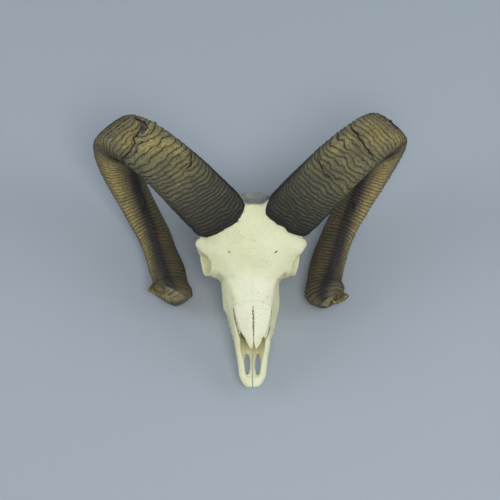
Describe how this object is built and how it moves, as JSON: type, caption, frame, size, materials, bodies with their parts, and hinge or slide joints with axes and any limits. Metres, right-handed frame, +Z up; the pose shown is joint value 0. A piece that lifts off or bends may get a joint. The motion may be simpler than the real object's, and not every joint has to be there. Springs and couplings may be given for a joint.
{
  "type": "ram skull",
  "caption": "Ram's skull without its lower jaw, with a long tapering muzzle, open eye sockets and heavy ridged horns that curl back, down and forward to blunt tips.",
  "frame": {"origin": "on the floor under the middle of the whole model's box, with the grinding faces of the cheek teeth at height 0", "axes": "+X to the animal's left, along the span of the horns; -Y towards the tip of the muzzle; +Z up from the cheek teeth to the forehead"},
  "size_m": [0.4423, 0.3639, 0.1933],
  "materials": {
    "bone": "dry, cleaned bone, matte with a slight sheen on the forehead",
    "horn": "ridged horn, dull, dark at the root and straw-coloured towards the tips"
  },
  "bodies": {
    "root": {"cranium": "bone", "zygomatic_left": "bone", "zygomatic_right": "bone", "nasal_left": "bone", "nasal_right": "bone", "maxilla_left": "bone", "maxilla_right": "bone", "premaxilla_left": "bone", "premaxilla_right": "bone", "horn_left": "horn", "horn_right": "horn"}
  },
  "joints": []
}
